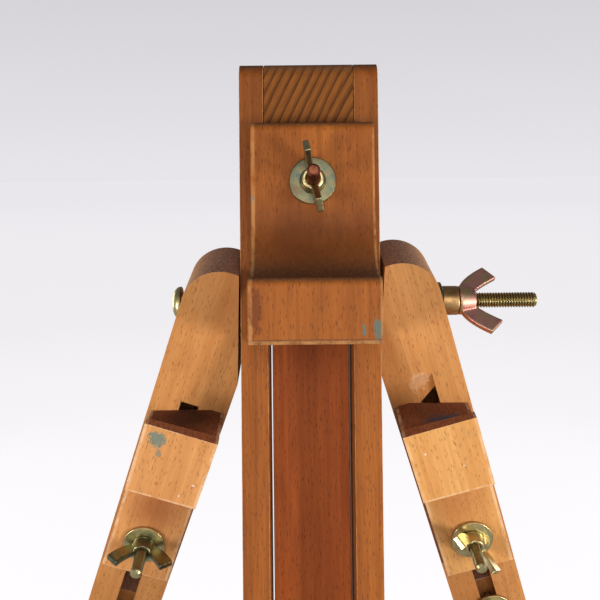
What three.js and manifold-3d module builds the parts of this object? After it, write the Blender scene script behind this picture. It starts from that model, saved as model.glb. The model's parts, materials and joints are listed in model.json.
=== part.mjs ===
// A wooden artist's field easel: a centre mast between two side legs, clamped by one long bolt.
// Units are millimetres and +Z is up. Each leg is built in its own frame, with the pivot at the origin,
// its length along -Z, its front face towards -Y, and +X pointing away from the mast on the right leg.
import * as THREE from 'three';
import { mergeVertices } from 'three/addons/utils/BufferGeometryUtils.js';
import Module from 'manifold-3d';

const wasm = await Module();
wasm.setup();

const GAP = 0.3; // running gap between pieces that touch
const ROUND_SIDES = 32;
const deg = THREE.MathUtils.degToRad;

// Stance
const MAST_LEAN = 11.25; // the mast leans back by this much
const LEG_TILT = 22.5; // the plane of the legs stands this far behind the mast
const SPLAY = { left: 19.6, right: 17.5 }; // each leg's angle to the mast, seen from the front
const BEVEL = { // the faces that meet the mast: angle to the leg, and clearance at the pivot
  left: { angle: 16.8, clearance: 1.3 },
  right: { angle: 18.7, clearance: 1 },
};
const CENTRE_REACH = 716; // pivot to floor along the mast

// Mast
const MAST_WIDTH = 68;
const MAST_DEPTH = 42;
const MAST_TOP = 118; // above the pivot
const MAST_BOTTOM = -672;
const RAIL_WIDTH = 13.2;
const OPENING = MAST_WIDTH - 2 * RAIL_WIDTH;
const TOP_BLOCK = { width: 43.9, height: 31 };
const PIVOT_BLOCK = { top: 28, bottom: -12 };
const END_ROUND = 9; // front and back edges of the mast's top
const GUIDE_HEIGHT = 56;

// Centre bar, which slides down between the rails
const BAR_WIDTH = 39;
const BAR_DEPTH = 15;
const BAR_RECESS = 20;
const BAR_TOP = PIVOT_BLOCK.bottom - 2;
const BAR_FRONT = -MAST_DEPTH / 2 + BAR_RECESS;

// Top clamp
const CLAMP_PLACE = { x: 1.4, boltZ: 56 };
const CLAMP = {
  width: 58.6,
  top: 85,
  bottom: -20,
  noseTop: 5, // where the nose's flat front ends
  noseRound: 4.6,
  scotiaTop: 40,
  plate: 12,
  plateRound: 5,
  nose: 40,
  chamfer: 2.4,
};
const CLAMP_PAD = { width: 52, height: 34, depth: 8 };

// Side legs
const LEG_WIDTH = 39.5;
const LEG_DEPTH = 40;
const LEG_END = 660; // pivot to the leg bar's lower end
const LEG_CROWN = { left: 4, right: 7.5 }; // the round top's centre is this far above the pivot
const PIVOT_TO_MAST = { left: 11, right: 12 }; // pivot to the mast's side
const GROOVE_WIDTH = 20;
const FRONT_WALL = 10;
const SLOT_WIDTH = 9.4;
const SLOT_TOP = { left: 50.5, right: 47 };
const SLOT_SLANT = { left: 0, right: 3.4 }; // the slot's ragged top end, half its rise
const RUN_OUT = { length: 13, radius: 26 }; // the cutter's shallow scoop above the right slot
const STRIP_DEPTH = 7.5;
const STRIP_TOP = 4; // the groove starts this far below the slot's top
const STRIP_END = { left: -160, right: -152 };
const SLOT_END = 610;

// Leg extensions, which slide in the grooves at the back of the legs
const EXTENSION_WIDTH = GROOVE_WIDTH - 2 * GAP;
const EXTENSION_DEPTH = LEG_DEPTH - FRONT_WALL - 2 * GAP;
const LOCK_FROM_TOP = 14;
const LOCK_PLACE = { left: 201, right: 192 }; // pivot to lock bolt along the leg

// Straps that close the grooves near the legs' lower ends
const STRAP = { fromEnd: 22, height: 24, thickness: 2, screwRadius: 1.9, headRadius: 3.6 };

// Ledge blocks
const LEDGE_PLACE = { left: 50, right: 47.2 }; // pivot to the top of the lip along the leg
const LEDGE = {
  width: 36,
  length: 104,
  nose: 30,
  noseLength: 39,
  coveLength: 14,
  plate: 12,
  lip: 7.2,
  floorRise: 8, // degrees that the ledge's floor rises towards the leg
  boltAt: 82,
};

// Fasteners
const M6 = {
  radius: 3,
  washer: 11.1,
  washerThickness: 1.5,
  hub: 6.2,
  hubTop: 4.9,
  hubHeight: 7,
  span: 16.8,
  wingTop: 15.8,
  wing: 3,
  head: { radius: 7.5, height: 4 },
};
const M8 = {
  radius: 4,
  washer: 9.5,
  washerThickness: 1.4,
  hub: 7.4,
  hubTop: 5.9,
  hubHeight: 8.5,
  span: 19.3,
  wingTop: 21.2,
  wing: 3.4,
  head: { radius: 8.5, height: 5 },
};
const NUT_TURN = { topClamp: 78, pivot: 60, left: -12, right: 60, extension: 30 };
const SLEEVE = { radius: 7.5, length: 8.5 };
const WASHER_AT = 65.3; // outer washer's inner face, from the mast's centre
const PIVOT_BOLT = { head: -65.6, tip: 115.7 };
const INNER_WASHER = { radius: 8, thickness: 0.5 };
const BUSH = { radius: 5, length: 14 };
const STEM_OUT = 4; // the lock screw's stem between its wings and the mast

const beech = { color: 0xcd915a, roughness: 0.6, metalness: 0 };
const darkBeech = { color: 0xa55f2d, roughness: 0.5, metalness: 0 };
const redBeech = { color: 0x9b5028, roughness: 0.5, metalness: 0 };
const zinc = { color: 0xb9a878, roughness: 0.35, metalness: 1 };
const rubber = { color: 0x1c1c1c, roughness: 0.9, metalness: 0 };

// ---- Solids -------------------------------------------------------------------------------------

// A closed geometry with shared vertices merged, and the triangles that collapse on an axis left out
function merged(geometry) {
  const bare = geometry.clone();
  bare.deleteAttribute('normal');
  bare.deleteAttribute('uv');
  const joined = mergeVertices(bare, 1e-4);
  const index = joined.index.array;
  const kept = [];
  for (let i = 0; i < index.length; i += 3) {
    const [a, b, c] = [index[i], index[i + 1], index[i + 2]];
    if (a !== b && b !== c && c !== a) kept.push(a, b, c);
  }
  joined.setIndex(kept);
  return joined;
}

function solid(geometry) {
  const closed = merged(geometry);
  return new wasm.Manifold(new wasm.Mesh({
    numProp: 3,
    vertProperties: new Float32Array(closed.attributes.position.array),
    triVerts: new Uint32Array(closed.index.array),
  }));
}

function geometryOf(body) {
  const { vertProperties, triVerts } = body.getMesh();
  const geometry = new THREE.BufferGeometry();
  geometry.setAttribute('position', new THREE.BufferAttribute(new Float32Array(vertProperties), 3));
  geometry.setIndex(new THREE.BufferAttribute(new Uint32Array(triVerts), 1));
  geometry.computeVertexNormals();
  return geometry;
}

function cut(geometry, ...tools) {
  return geometryOf(tools.reduce((body, tool) => body.subtract(solid(tool)), solid(geometry)));
}

function join(...geometries) {
  const [first, ...rest] = geometries.map(solid);
  return geometryOf(rest.reduce((body, other) => body.add(other), first));
}

// A box between two corners
function block(x0, x1, y0, y1, z0, z1) {
  const geometry = new THREE.BoxGeometry(x1 - x0, y1 - y0, z1 - z0);
  return geometry.translate((x0 + x1) / 2, (y0 + y1) / 2, (z0 + z1) / 2);
}

// A round rod along Y
function rodY(radius, y0, y1, sides = ROUND_SIDES) {
  return new THREE.CylinderGeometry(radius, radius, y1 - y0, sides).translate(0, (y0 + y1) / 2, 0);
}

function rodX(radius, x0, x1) {
  return rodY(radius, -x1, -x0).rotateZ(Math.PI / 2);
}

// A solid turned about the Y axis from [radius, y] pairs listed from low y to high y
function turned(pairs, sides = ROUND_SIDES) {
  return new THREE.LatheGeometry(pairs.map(([r, y]) => new THREE.Vector2(r, y)), sides);
}

// A side profile in (depth towards -Y, height Z), extruded across X
function acrossX(shape, width, curveSegments = 12) {
  const geometry = new THREE.ExtrudeGeometry(shape, { depth: width, bevelEnabled: false, curveSegments });
  geometry.translate(0, 0, -width / 2);
  // shape x becomes -Y, shape y becomes Z, and the extrusion runs along X
  const basis = new THREE.Matrix4().makeBasis(
    new THREE.Vector3(0, -1, 0), new THREE.Vector3(0, 0, 1), new THREE.Vector3(-1, 0, 0));
  return geometry.applyMatrix4(basis);
}

function mesh(name, geometry, finish) {
  const piece = new THREE.Mesh(geometry, new THREE.MeshStandardMaterial(finish));
  piece.name = name;
  return piece;
}

function groupOf(...children) {
  const group = new THREE.Group();
  group.add(...children);
  return group;
}

// ---- Fasteners, all along Y with their free end towards -Y -------------------------------------

// Round-headed bolt: the head's underside is at y = 0 and the tip at y = -length
function bolt(size, length) {
  const steps = 6;
  const rim = 1;
  const profile = [
    [0, -length],
    [size.radius * 0.85, -length],
    [size.radius, size.radius * 0.15 - length],
    [size.radius, 0],
    [size.head.radius, 0],
  ];
  for (let i = 0; i < steps; i++) {
    const angle = (i / steps) * (Math.PI / 2);
    profile.push([size.head.radius * Math.cos(angle), rim + (size.head.height - rim) * Math.sin(angle)]);
  }
  profile.push([0, size.head.height]);
  return turned(profile);
}

// Ring from y = 0 towards -Y
function ring(bore, radius, thickness) {
  return turned([[bore, -thickness], [radius, -thickness], [radius, 0], [bore, 0], [bore, -thickness]]);
}

function washer(size) {
  return ring(size.radius + GAP, size.washer, size.washerThickness);
}

// Wing nut whose base is at y = 0, with two blades that flare outwards and forwards
function wingNut(size, bore) {
  const hub = turned([[0, -size.hubHeight], [size.hubTop, -size.hubHeight], [size.hub, 0], [0, 0]]);
  const blade = new THREE.Shape();
  const root = 0.8;
  blade.moveTo(0, root);
  blade.lineTo(size.hub * 0.88, root);
  blade.quadraticCurveTo(size.span * 0.66, 0.14 * size.wingTop, size.span, 0.7 * size.wingTop);
  blade.lineTo(size.span * 0.66, size.wingTop);
  blade.quadraticCurveTo(size.span * 0.4, 0.56 * size.wingTop, size.hubTop * 0.7, size.hubHeight - root);
  blade.lineTo(0, size.hubHeight - root);
  const options = { depth: size.wing, bevelEnabled: false, curveSegments: 5 };
  const right = new THREE.ExtrudeGeometry(blade, options).translate(0, 0, -size.wing / 2).rotateX(Math.PI);
  const left = right.clone().rotateY(Math.PI);
  return cut(join(hub, right, left), rodY(bore, -size.wingTop - 1, 1));
}

// ---- Mast --------------------------------------------------------------------------------------

// The mast's side outline above a level, rounded at the top front and back
function mastOutline(bottom) {
  const half = MAST_DEPTH / 2;
  const outline = new THREE.Shape();
  outline.moveTo(-half, bottom);
  outline.lineTo(half, bottom);
  outline.lineTo(half, MAST_TOP - END_ROUND);
  outline.absarc(half - END_ROUND, MAST_TOP - END_ROUND, END_ROUND, 0, Math.PI / 2);
  outline.lineTo(END_ROUND - half, MAST_TOP);
  outline.absarc(END_ROUND - half, MAST_TOP - END_ROUND, END_ROUND, Math.PI / 2, Math.PI);
  return outline;
}

function rail(side, name) {
  const plank = acrossX(mastOutline(MAST_BOTTOM), RAIL_WIDTH, 8);
  plank.translate(side * (MAST_WIDTH - RAIL_WIDTH) / 2, 0, 0);
  const inner = side * (TOP_BLOCK.width / 2 + GAP);
  const rebateBottom = MAST_TOP - TOP_BLOCK.height - GAP;
  const [x0, x1] = [Math.min(0, inner), Math.max(0, inner)];
  const rebate = block(x0, x1, -MAST_DEPTH, MAST_DEPTH, rebateBottom, MAST_TOP + 1);
  const hole = rodX(M8.radius + GAP, -MAST_WIDTH, MAST_WIDTH);
  return mesh(name, cut(plank, rebate, hole), darkBeech);
}

function topBlock() {
  const outline = mastOutline(MAST_TOP - TOP_BLOCK.height);
  return mesh('mast_top_block', acrossX(outline, TOP_BLOCK.width, 8), darkBeech);
}

// Block between the rails that the main bolt passes through
function pivotBlock() {
  const half = OPENING / 2 - GAP;
  const body = block(-half, half, -MAST_DEPTH / 2 + 2, MAST_DEPTH / 2, PIVOT_BLOCK.bottom, PIVOT_BLOCK.top);
  return mesh('mast_pivot_block', cut(body, rodX(M8.radius + GAP, -MAST_WIDTH, MAST_WIDTH)), redBeech);
}

// Guides at the mast's lower end, in front of and behind the centre bar
function guides() {
  const half = OPENING / 2 - GAP;
  const bottom = MAST_BOTTOM;
  const top = bottom + GUIDE_HEIGHT;
  const front = block(-half, half, -MAST_DEPTH / 2, BAR_FRONT - GAP, bottom, top);
  const rear = block(-half, half, BAR_FRONT + BAR_DEPTH + GAP, MAST_DEPTH / 2, bottom, top);
  const hole = rodY(BUSH.radius + GAP, -MAST_DEPTH, BAR_FRONT).translate(0, 0, bottom + GUIDE_HEIGHT / 2);
  return [
    mesh('mast_front_guide', cut(front, hole), darkBeech),
    mesh('mast_rear_guide', rear, darkBeech),
  ];
}

// Threaded bush in the front guide, and the wing screw that presses on the centre bar
function barLock() {
  const z = MAST_BOTTOM + GUIDE_HEIGHT / 2;
  const face = -MAST_DEPTH / 2;
  const bush = ring(M6.radius + GAP, BUSH.radius, BUSH.length).translate(0, face + BUSH.length, z);
  const stem = rodY(M6.radius, -STEM_OUT, BAR_FRONT - GAP - face + STEM_OUT);
  const core = rodY(M6.hubTop - 0.2, -M6.hubHeight, -0.5);
  const screw = join(wingNut(M6, 0.5), stem, core).translate(0, face - STEM_OUT, z);
  return [mesh('bar_lock_bush', bush, zinc), mesh('bar_lock_screw', screw, zinc)];
}

function mast() {
  const rails = [rail(-1, 'mast_rail_left'), rail(1, 'mast_rail_right')];
  return groupOf(...rails, topBlock(), pivotBlock(), ...guides(), ...barLock());
}

// ---- Centre bar --------------------------------------------------------------------------------

const TIP = { wall: 3, sole: 24, sleeve: 22 };
const TIP_CLEAR = 12; // wood ends this far above the floor, along the bar

// A rubber cup over a bar's lower end at height z
function rubberTip(name, x0, x1, y0, y1, z) {
  const { wall, sole, sleeve } = TIP;
  const cup = block(x0 - wall, x1 + wall, y0 - wall, y1 + wall, z - sole, z + sleeve);
  const pocket = block(x0 - GAP, x1 + GAP, y0 - GAP, y1 + GAP, z - GAP, z + sleeve + 1);
  return mesh(name, cut(cup, pocket), rubber);
}

function centreLeg() {
  const half = BAR_WIDTH / 2;
  const back = BAR_FRONT + BAR_DEPTH;
  const end = TIP_CLEAR + 2 - CENTRE_REACH;
  return groupOf(
    mesh('centre_leg_bar', block(-half, half, BAR_FRONT, back, end, BAR_TOP), redBeech),
    rubberTip('centre_leg_tip', -half, half, BAR_FRONT, back, end),
  );
}

// ---- Top clamp ---------------------------------------------------------------------------------

// A plate that bears on the mast, a hollow quarter curve, and a nose with a rounded upper edge
function clampBlock() {
  const { nose, plate, bottom, top, chamfer, noseRound, plateRound } = CLAMP;
  const lipTop = CLAMP.noseTop + noseRound;
  const hollow = { depth: nose - noseRound - plate, height: CLAMP.scotiaTop - lipTop };
  const shape = new THREE.Shape();
  shape.moveTo(0, bottom);
  shape.lineTo(nose - chamfer, bottom);
  shape.lineTo(nose, bottom + chamfer);
  shape.lineTo(nose, CLAMP.noseTop);
  shape.absarc(nose - noseRound, CLAMP.noseTop, noseRound, 0, Math.PI / 2);
  const [centreX, centreZ] = [nose - noseRound, CLAMP.scotiaTop];
  shape.absellipse(centreX, centreZ, hollow.depth, hollow.height, -Math.PI / 2, -Math.PI, true);
  shape.lineTo(plate, top - plateRound);
  shape.absarc(plate - plateRound, top - plateRound, plateRound, 0, Math.PI / 2);
  shape.lineTo(0, top);
  const hole = rodY(M6.radius + GAP, -plate - 1, 1).translate(0, 0, CLAMP_PLACE.boltZ);
  return cut(acrossX(shape, CLAMP.width, 10), hole);
}

function topClamp() {
  const face = -MAST_DEPTH / 2 - GAP;
  const back = MAST_DEPTH / 2 + GAP;
  const seat = face - CLAMP.plate - GAP;
  const stud = 28; // length of bolt in front of the clamp block
  const shank = MAST_DEPTH + CLAMP.plate + CLAMP_PAD.depth + stud;
  const [halfWidth, halfHeight] = [CLAMP_PAD.width / 2, CLAMP_PAD.height / 2];
  const pad = block(-halfWidth, halfWidth, 0, CLAMP_PAD.depth, -halfHeight, halfHeight);
  const padHole = rodY(M6.radius + GAP, -1, CLAMP_PAD.depth + 1);
  const nut = mesh('top_clamp_wing_nut', wingNut(M6, M6.radius + GAP), zinc);
  nut.position.y = seat - M6.washerThickness - GAP;
  nut.rotation.y = deg(NUT_TURN.topClamp);
  const fasteners = groupOf(
    mesh('top_clamp_plate', cut(pad, padHole).translate(0, back, 0), darkBeech),
    mesh('top_clamp_bolt', bolt(M6, shank).translate(0, back + CLAMP_PAD.depth + GAP, 0), zinc),
    mesh('top_clamp_washer', washer(M6).translate(0, seat, 0), zinc),
    nut,
  );
  fasteners.position.z = CLAMP_PLACE.boltZ;
  const group = groupOf(mesh('top_clamp_block', clampBlock().translate(0, face, 0), darkBeech), fasteners);
  group.position.x = CLAMP_PLACE.x;
  return group;
}

// ---- Main pivot --------------------------------------------------------------------------------

// The long bolt along X, its washers and sleeve, and the nut that clamps both legs on the mast
function pivotHardware() {
  const bore = M8.radius + GAP;
  const sleeveAt = WASHER_AT + M8.washerThickness + GAP;
  const nutAt = sleeveAt + SLEEVE.length + GAP;
  const inner = MAST_WIDTH / 2 + GAP / 2;
  const alongX = (name, geometry, x) => mesh(name, geometry.rotateZ(Math.PI / 2).translate(x, 0, 0), zinc);
  const shim = () => ring(bore, INNER_WASHER.radius, INNER_WASHER.thickness);
  const nut = alongX('pivot_wing_nut', wingNut(M8, bore), 0);
  nut.position.x = nutAt;
  nut.rotation.x = deg(NUT_TURN.pivot);
  return groupOf(
    alongX('pivot_bolt', bolt(M8, PIVOT_BOLT.tip - PIVOT_BOLT.head), PIVOT_BOLT.head),
    alongX('pivot_inner_washer_left', shim(), -inner - INNER_WASHER.thickness),
    alongX('pivot_inner_washer_right', shim(), inner),
    alongX('pivot_outer_washer', washer(M8), WASHER_AT),
    alongX('pivot_sleeve', ring(bore, SLEEVE.radius, SLEEVE.length), sleeveAt),
    nut,
  );
}

// ---- Side legs ---------------------------------------------------------------------------------

// The slot through the front wall, with a slanted upper end
function slotTool(name, back) {
  const half = SLOT_WIDTH / 2;
  const outline = new THREE.Shape();
  outline.moveTo(-half, -SLOT_END);
  outline.lineTo(half, -SLOT_END);
  outline.lineTo(half, SLOT_SLANT[name] - SLOT_TOP[name]);
  outline.lineTo(-half, -SLOT_SLANT[name] - SLOT_TOP[name]);
  const tool = new THREE.ExtrudeGeometry(outline, { depth: 2 * back, bevelEnabled: false });
  return tool.rotateX(Math.PI / 2).translate(0, back, 0);
}

// A shallow scoop that runs out into the front face above the slot
function runOut(name) {
  const scoop = rodX(RUN_OUT.radius, -SLOT_WIDTH / 2, SLOT_WIDTH / 2);
  const sink = Math.sqrt(RUN_OUT.radius ** 2 - RUN_OUT.length ** 2);
  return scoop.translate(0, -LEG_DEPTH / 2 - sink, -SLOT_TOP[name]);
}

// The leg bar: round top, bevel against the mast, groove from behind and slot through the front wall
function legBar(side, name) {
  const half = LEG_WIDTH / 2;
  const outline = new THREE.Shape();
  outline.moveTo(-half, -LEG_END);
  outline.lineTo(half, -LEG_END);
  outline.lineTo(half, LEG_CROWN[name]);
  outline.absarc(0, LEG_CROWN[name], half, 0, Math.PI);
  const options = { depth: LEG_DEPTH, bevelEnabled: false, curveSegments: 24 };
  const bar = new THREE.ExtrudeGeometry(outline, options);
  bar.rotateX(Math.PI / 2).translate(0, LEG_DEPTH / 2, 0);
  const back = LEG_DEPTH / 2 + 1;
  const wall = FRONT_WALL - LEG_DEPTH / 2;
  const grooveTop = -SLOT_TOP[name] - STRIP_TOP;
  const tools = [
    block(-GROOVE_WIDTH / 2, GROOVE_WIDTH / 2, wall, back, -LEG_END - 1, grooveTop),
    slotTool(name, back),
    bevelTool(side, name, back),
    ...pivotHoles(side, name),
  ];
  if (name === 'right') tools.push(runOut(name));
  return mesh(`${name}_leg_bar`, cut(bar, ...tools), beech);
}

// The half space on the mast's side of the leg's bevel
function bevelTool(side, name, back) {
  const { angle, clearance } = BEVEL[name];
  const near = PIVOT_TO_MAST[name] - clearance;
  const [x0, x1] = side < 0 ? [near, near + 60] : [-near - 60, -near];
  return block(x0, x1, -back, back, -90, 60).rotateY(side * deg(angle));
}

// Slat that closes the back of the groove behind the ledge block's bolt
function grooveStrip(name) {
  const half = GROOVE_WIDTH / 2 - GAP;
  const back = LEG_DEPTH / 2;
  const top = -SLOT_TOP[name] - STRIP_TOP - GAP;
  const slat = block(-half, half, back - STRIP_DEPTH, back, STRIP_END[name], top);
  return mesh(`${name}_groove_strip`, slat, beech);
}

// The pivot hole fans out so that the leg can close, and a spot face seats the bolt's head or washer
function pivotHoles(side, name) {
  const seat = side < 0 ? M8.head.radius : M8.washer;
  const outside = side < 0 ? -PIVOT_BOLT.head : WASHER_AT;
  const seatAt = outside - GAP - MAST_WIDTH / 2 - PIVOT_TO_MAST[name];
  const [from, to] = side < 0 ? [-40, -seatAt] : [seatAt, 40];
  const tools = [0, SPLAY[name]].map((splay) => rodX(seat + 2 * GAP, from, to).rotateY(side * deg(splay)));
  const steps = 5;
  for (let i = 0; i <= steps; i++) {
    tools.push(rodX(M8.radius + GAP, -60, 60).rotateY(side * deg((SPLAY[name] * i) / steps)));
  }
  return tools;
}

// The ledge block's side profile, measured out from the leg and down from the top of its lip
function ledgeBlock(side, name) {
  const rise = LEDGE.width * Math.tan(deg(SPLAY[name]));
  const shape = new THREE.Shape();
  shape.moveTo(0, 0);
  shape.lineTo(LEDGE.nose, 0);
  shape.lineTo(LEDGE.nose, -LEDGE.noseLength);
  const foot = -LEDGE.noseLength - LEDGE.coveLength;
  shape.quadraticCurveTo(LEDGE.plate, -LEDGE.noseLength - 2, LEDGE.plate, foot);
  shape.lineTo(LEDGE.plate, 1.5 - LEDGE.length);
  shape.lineTo(LEDGE.plate - 1.5, -LEDGE.length);
  shape.lineTo(0, -LEDGE.length);
  const body = acrossX(shape, LEDGE.width, 10);
  // the groove's floor stays level when the leg is splayed
  const inside = LEDGE.lip - LEDGE.nose;
  const groove = block(-60, 60, 0, 60, 0, 60).rotateX(deg(LEDGE.floorRise)).translate(0, inside, 0);
  groove.rotateY(side * deg(SPLAY[name])).translate(0, 0, -rise / 2 - 1);
  const hole = rodY(M6.radius + GAP, -LEDGE.plate - 1, 1).translate(0, 0, -LEDGE.boltAt);
  return mesh(`${name}_ledge_block`, cut(body, groove, hole), beech);
}

// A slot fastener: head inside the groove, washer and wing nut in front of `stack` millimetres of wood,
// with `stud` millimetres of bolt in front of the wood
function slotFastener(prefix, stack, headAt, stud, turn) {
  const front = -LEG_DEPTH / 2 - stack - GAP;
  const nut = mesh(`${prefix}_wing_nut`, wingNut(M6, M6.radius + GAP), zinc);
  nut.position.y = front - M6.washerThickness - GAP;
  nut.rotation.y = deg(turn);
  return groupOf(
    mesh(`${prefix}_bolt`, bolt(M6, headAt - front + stud).translate(0, headAt, 0), zinc),
    mesh(`${prefix}_washer`, washer(M6).translate(0, front, 0), zinc),
    nut,
  );
}

function ledge(side, name) {
  const body = ledgeBlock(side, name);
  body.position.y = -LEG_DEPTH / 2 - GAP;
  const headAt = FRONT_WALL - LEG_DEPTH / 2 + GAP;
  const fastener = slotFastener(`${name}_ledge`, LEDGE.plate + GAP, headAt, 24, NUT_TURN[name]);
  fastener.position.z = -LEDGE.boltAt;
  const group = groupOf(body, fastener);
  group.position.z = -LEDGE_PLACE[name];
  return group;
}

// Reach from the pivot to the floor along a leg, so that all three feet stand level
function legReach(name) {
  const pivotHeight = CENTRE_REACH * Math.cos(deg(MAST_LEAN));
  return pivotHeight / Math.cos(deg(SPLAY[name])) / Math.cos(deg(LEG_TILT - MAST_LEAN));
}

function extension(name) {
  const half = EXTENSION_WIDTH / 2;
  const y0 = FRONT_WALL - LEG_DEPTH / 2 + GAP;
  const y1 = y0 + EXTENSION_DEPTH;
  const top = LOCK_FROM_TOP;
  const end = LOCK_PLACE[name] - legReach(name) + TIP_CLEAR;
  const headAt = y1 - 6;
  const pocket = rodY(8, headAt - GAP, y1 + 1);
  const hole = rodY(M6.radius + GAP, y0 - 1, y1);
  const bar = cut(block(-half, half, y0, y1, end, top), hole, pocket);
  const group = groupOf(
    mesh(`${name}_extension_bar`, bar, beech),
    rubberTip(`${name}_foot_tip`, -half, half, y0, y1, end),
    slotFastener(`${name}_extension`, 0, headAt, 22, NUT_TURN.extension),
  );
  group.position.z = -LOCK_PLACE[name];
  return group;
}

// Strap across the groove at the leg's lower end, held by two screws
function strap(name) {
  const y = LEG_DEPTH / 2 + GAP;
  const z = STRAP.fromEnd - LEG_END;
  const reach = LEG_WIDTH / 2 - 1;
  const screwX = (LEG_WIDTH + GROOVE_WIDTH) / 4;
  const half = STRAP.height / 2;
  const { thickness, screwRadius, headRadius } = STRAP;
  const places = [-1, 1].map((side) => side * screwX);
  const holes = places.map((x) => rodY(screwRadius + GAP, y - 1, y + thickness + 1, 16).translate(x, 0, z));
  const top = thickness + GAP;
  const shank = [[0, 0], [screwRadius, 0], [screwRadius, top]];
  const profile = [...shank, [headRadius, top], [0.7 * headRadius, top + 1.5], [0, top + 1.7]];
  const screws = places.map((x, i) => {
    const letter = 'ab'[i];
    return mesh(`${name}_strap_screw_${letter}`, turned(profile, 16).translate(x, y, z), zinc);
  });
  const plate = block(-reach, reach, y, y + thickness, z - half, z + half);
  return [mesh(`${name}_guide_strap`, cut(plate, ...holes), zinc), ...screws];
}

function leg(side, name) {
  const bar = [legBar(side, name), grooveStrip(name), ...strap(name)];
  const group = groupOf(...bar, ledge(side, name), extension(name));
  group.position.x = side * (MAST_WIDTH / 2 + PIVOT_TO_MAST[name]);
  group.rotation.set(deg(LEG_TILT), -side * deg(SPLAY[name]), 0);
  return group;
}

// ---- Easel -------------------------------------------------------------------------------------

// Trims a foot tip flat where it meets the floor at z = 0
function trimAtFloor(tip) {
  tip.updateWorldMatrix(true, false);
  const standing = tip.geometry.clone().applyMatrix4(tip.matrixWorld);
  const { x, y } = new THREE.Vector3().setFromMatrixPosition(tip.matrixWorld);
  const ground = block(x - 600, x + 600, y - 600, y + 600, -200, 0);
  tip.geometry = cut(standing, ground).applyMatrix4(tip.matrixWorld.clone().invert());
}

const easel = groupOf(mast(), centreLeg(), topClamp(), pivotHardware(), leg(-1, 'left'), leg(1, 'right'));
easel.rotation.x = -deg(MAST_LEAN);
easel.position.z = CENTRE_REACH * Math.cos(deg(MAST_LEAN));
for (const name of ['centre_leg_tip', 'left_foot_tip', 'right_foot_tip']) {
  trimAtFloor(easel.getObjectByName(name));
}

// The origin is the middle of the footprint's bounding box, on the floor
const bounds = new THREE.Box3().setFromObject(easel, true);
const middle = bounds.getCenter(new THREE.Vector3());
easel.position.x -= middle.x;
easel.position.y -= middle.y;

export default groupOf(easel);
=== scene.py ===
import json
import math

import bmesh
import bpy
from mathutils import Matrix, Vector


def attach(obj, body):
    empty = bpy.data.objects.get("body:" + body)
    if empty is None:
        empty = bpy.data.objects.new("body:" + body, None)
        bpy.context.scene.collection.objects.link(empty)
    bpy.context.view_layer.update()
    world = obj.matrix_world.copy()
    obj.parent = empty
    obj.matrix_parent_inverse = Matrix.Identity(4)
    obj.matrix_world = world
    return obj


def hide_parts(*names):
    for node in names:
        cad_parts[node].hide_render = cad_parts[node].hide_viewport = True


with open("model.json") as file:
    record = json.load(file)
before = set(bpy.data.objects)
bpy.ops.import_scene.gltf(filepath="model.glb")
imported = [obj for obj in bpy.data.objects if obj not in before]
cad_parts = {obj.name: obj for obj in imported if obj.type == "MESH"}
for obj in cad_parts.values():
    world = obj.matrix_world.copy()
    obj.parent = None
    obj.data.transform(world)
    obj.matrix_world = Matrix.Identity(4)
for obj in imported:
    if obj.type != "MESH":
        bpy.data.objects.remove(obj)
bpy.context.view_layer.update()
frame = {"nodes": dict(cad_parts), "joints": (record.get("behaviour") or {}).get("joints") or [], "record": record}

# A wooden artist's field easel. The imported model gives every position, in metres. The wooden pieces are
# copied with worn, rounded edges, and the fasteners are built again with threads and cast wings.

MM = 0.001
JOINTS = {joint["name"]: joint for joint in frame["joints"]}
BODY_OF = {node: body for body, nodes in frame["record"]["behaviour"]["bodies"].items() for node in nodes}


def srgb(red, green, blue):
    """A display colour, 0 to 255, as linear values."""
    def linear(value):
        share = value / 255
        return share / 12.92 if share <= 0.04045 else ((share + 0.055) / 1.055) ** 2.4
    return (linear(red), linear(green), linear(blue), 1.0)


# ---- Local frames: each member's length runs along its own Z ------------------------------------

def frame_from(origin, x, y, z):
    basis = Matrix((x, y, z)).transposed().to_4x4()
    basis.translation = origin
    return basis


def mast_frame():
    z = -Vector(JOINTS["centre_leg_slide"]["axis"])
    x = Vector((1, 0, 0))
    left, right = (Vector(JOINTS[f"{side}_leg_tilt"]["pos_m"]) for side in ("left", "right"))
    return frame_from((left + right) / 2, x, z.cross(x), z)


def leg_frame(side):
    z = -Vector(JOINTS[f"{side}_extension_slide"]["axis"])
    y = Vector(JOINTS[f"{side}_leg_splay"]["axis"])
    if y.y < 0:
        y = -y
    return frame_from(Vector(JOINTS[f"{side}_leg_splay"]["pos_m"]), y.cross(z), y, z)


MAST = mast_frame()
LEG = {side: leg_frame(side) for side in ("left", "right")}


def member_of(node):
    """The local frame of the mast or leg that a node belongs to."""
    for side, matrix in LEG.items():
        if node.startswith(side):
            return matrix
    return MAST


# ---- Camera, lights and backdrop ---------------------------------------------------------------

LENS = 45.0
CAMERA_DISTANCE = 385 * MM  # from the pivot
CAMERA_LEFT = 5.64 * MM  # the camera stands this far left of the mast's centre
CAMERA_UP = 1.0 * MM
SENSOR_WIDTH = 36.0
CAMERA_PITCH = math.radians(1.53)
CAMERA_ROLL = math.radians(-0.59)


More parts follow.
